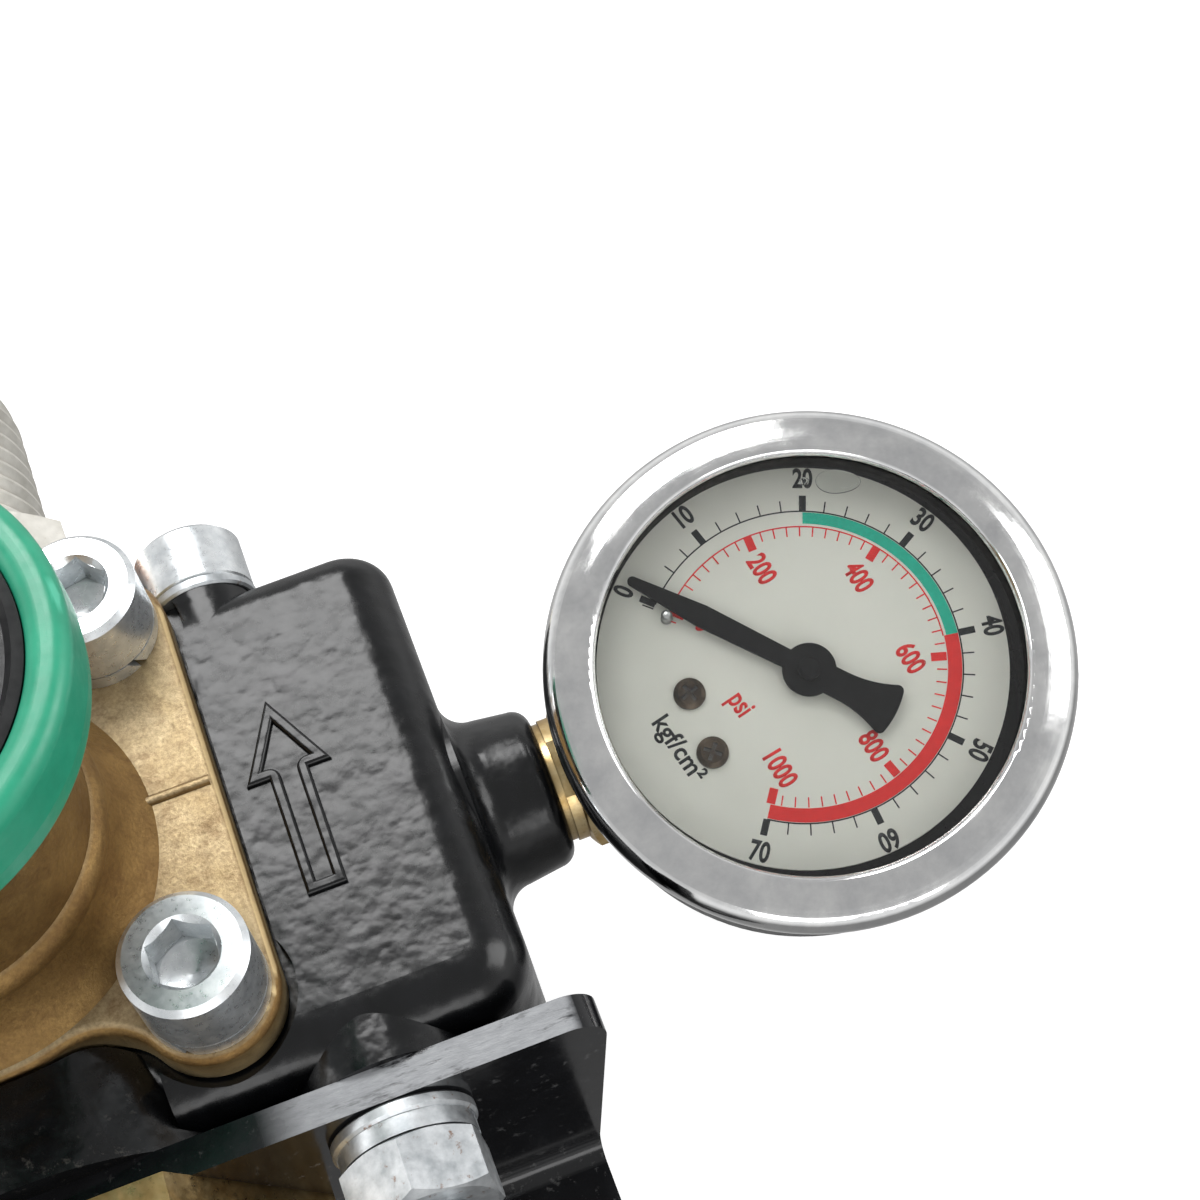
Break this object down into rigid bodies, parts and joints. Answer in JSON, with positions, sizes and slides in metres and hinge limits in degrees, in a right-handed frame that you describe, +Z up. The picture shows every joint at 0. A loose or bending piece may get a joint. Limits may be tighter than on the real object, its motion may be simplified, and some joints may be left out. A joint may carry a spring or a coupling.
{
  "type": "pressure reducing valve",
  "caption": "Piston pressure reducing valve with a flanged bonnet, round adjusting knob, dial gauge, male outlet nipple and bent mounting bracket.",
  "frame": {"origin": "on the valve axis, in the flat underside of the body", "axes": "+Z up along the valve axis to the adjusting knob, +Y along the flow to the outlet, +X to the gauge"},
  "size_m": [0.2297, 0.174, 0.1093],
  "materials": {
    "body_paint": "gloss black paint over a sand casting",
    "cast_bronze": "sand-cast bronze, satin",
    "machined_bronze": "turned brass and bronze, fine turning marks",
    "zinc_steel": "zinc-plated steel, slightly dulled",
    "spring_steel": "oiled spring steel",
    "stainless": "polished stainless steel",
    "satin_nickel": "satin nickel-plated steel",
    "bracket_paint": "gloss black paint on sheared plate",
    "green_plastic": "moulded plastic, slightly soft sheen",
    "black_plastic": "moulded plastic",
    "seal_rubber": "nitrile rubber",
    "fibre": "compressed fibre gasket",
    "copper": "annealed copper",
    "lens": "clear acrylic window",
    "dial_white": "printed aluminium dial",
    "pointer_black": "black painted aluminium",
    "case_black": "black painted steel case"
  },
  "bodies": {
    "valve": {"valve_body": "body_paint", "bonnet": "cast_bronze", "bonnet_gasket": "fibre", "bonnet_screws": "zinc_steel", "bonnet_spring_washers": "zinc_steel", "piston_guide": "machined_bronze", "guide_o_ring": "seal_rubber", "regulating_spring": "spring_steel", "valve_seat": "stainless", "poppet_spring": "spring_steel", "bottom_plug": "machined_bronze", "bottom_plug_o_ring": "seal_rubber", "outlet_nipple": "satin_nickel", "outlet_seal": "copper", "inlet_adaptor": "machined_bronze", "inlet_strainer": "stainless", "side_port_plug": "machined_bronze", "side_port_seal": "copper", "bracket": "bracket_paint", "bracket_studs": "zinc_steel", "bracket_flat_washers": "zinc_steel", "bracket_spring_washers": "zinc_steel", "bracket_nuts": "zinc_steel", "rear_screws": "zinc_steel", "rear_washers": "zinc_steel", "gauge_socket": "machined_bronze", "gauge_seal_washer": "machined_bronze", "gauge_case": "case_black", "fill_plug": "seal_rubber", "gauge_bezel": "stainless", "gauge_lens": "lens", "gauge_lens_gasket": "seal_rubber", "gauge_dial": "dial_white", "dial_screws": "zinc_steel", "stop_pin": "stainless", "back_movement_plate": "machined_bronze", "front_movement_plate": "machined_bronze", "movement_pillars": "machined_bronze"},
    "spring_seat": {"upper_spring_seat": "zinc_steel"},
    "knob": {"spindle": "zinc_steel", "knob_core": "black_plastic", "knob_grip": "green_plastic", "knob_washer": "zinc_steel", "knob_nut": "zinc_steel"},
    "lock_nut": {"lock_nut": "zinc_steel"},
    "piston": {"piston": "stainless", "piston_o_ring": "seal_rubber"},
    "poppet": {"poppet": "stainless", "poppet_seal": "seal_rubber"},
    "sector": {"sector_gear": "machined_bronze"},
    "pointer": {"pointer": "pointer_black", "pinion_arbor": "machined_bronze"},
    "tube": {"bourdon_tube": "cast_bronze"},
    "link": {"link": "machined_bronze"}
  },
  "joints": [
    {"name": "spring_seat_slide", "type": "slide", "parent": "valve", "child": "spring_seat", "axis": [0, 0, 1], "range_m": [-0.004, 0.001], "deforming": ["regulating_spring"]},
    {"name": "knob_turn", "type": "hinge", "parent": "spring_seat", "child": "knob", "pos_m": [0, 0, 0.102], "axis": [0, 0, 1], "range_deg": [-720, 180]},
    {"name": "lock_nut_turn", "type": "hinge", "parent": "valve", "child": "lock_nut", "pos_m": [0, 0, 0.092], "axis": [0, 0, 1], "range_deg": [0, 45]},
    {"name": "piston_slide", "type": "slide", "parent": "valve", "child": "piston", "axis": [0, 0, 1], "range_m": [-0.0018, 0], "stiffness_N_per_m": 2000},
    {"name": "poppet_slide", "type": "slide", "parent": "valve", "child": "poppet", "axis": [0, 0, 1], "range_m": [-0.0018, 0], "deforming": ["poppet_spring"]},
    {"name": "sector_turn", "type": "hinge", "parent": "valve", "child": "sector", "pos_m": [0.10251, -0.01717, 0.03234], "axis": [0, -0.279, 0.9603], "range_deg": [0, 30.5], "stiffness_Nm_per_rad": 0.0005},
    {"name": "pointer_turn", "type": "hinge", "parent": "valve", "child": "pointer", "pos_m": [0.1106, -0.00873, 0.04468], "axis": [0, -0.279, 0.9603], "range_deg": [-256.2, 0]},
    {"name": "tube_flex", "type": "hinge", "parent": "valve", "child": "tube", "pos_m": [0.1106, -0.0058, 0.0346], "axis": [0, -0.279, 0.9603], "range_deg": [0, 8.7]},
    {"name": "link_turn", "type": "hinge", "parent": "sector", "child": "link", "pos_m": [0.10043, -0.02103, 0.02934], "axis": [0, -0.279, 0.9603], "range_deg": [-25, 0]}
  ],
  "couplings": [
    {"joint": "knob_turn", "follows": "spring_seat_slide", "rad_per_m": 3141.6},
    {"joint": "poppet_slide", "follows": "piston_slide", "ratio": 1},
    {"joint": "pointer_turn", "follows": "sector_turn", "ratio": -8.4},
    {"joint": "tube_flex", "follows": "sector_turn", "ratio": 0.285},
    {"joint": "link_turn", "follows": "sector_turn", "ratio": -0.818}
  ]
}
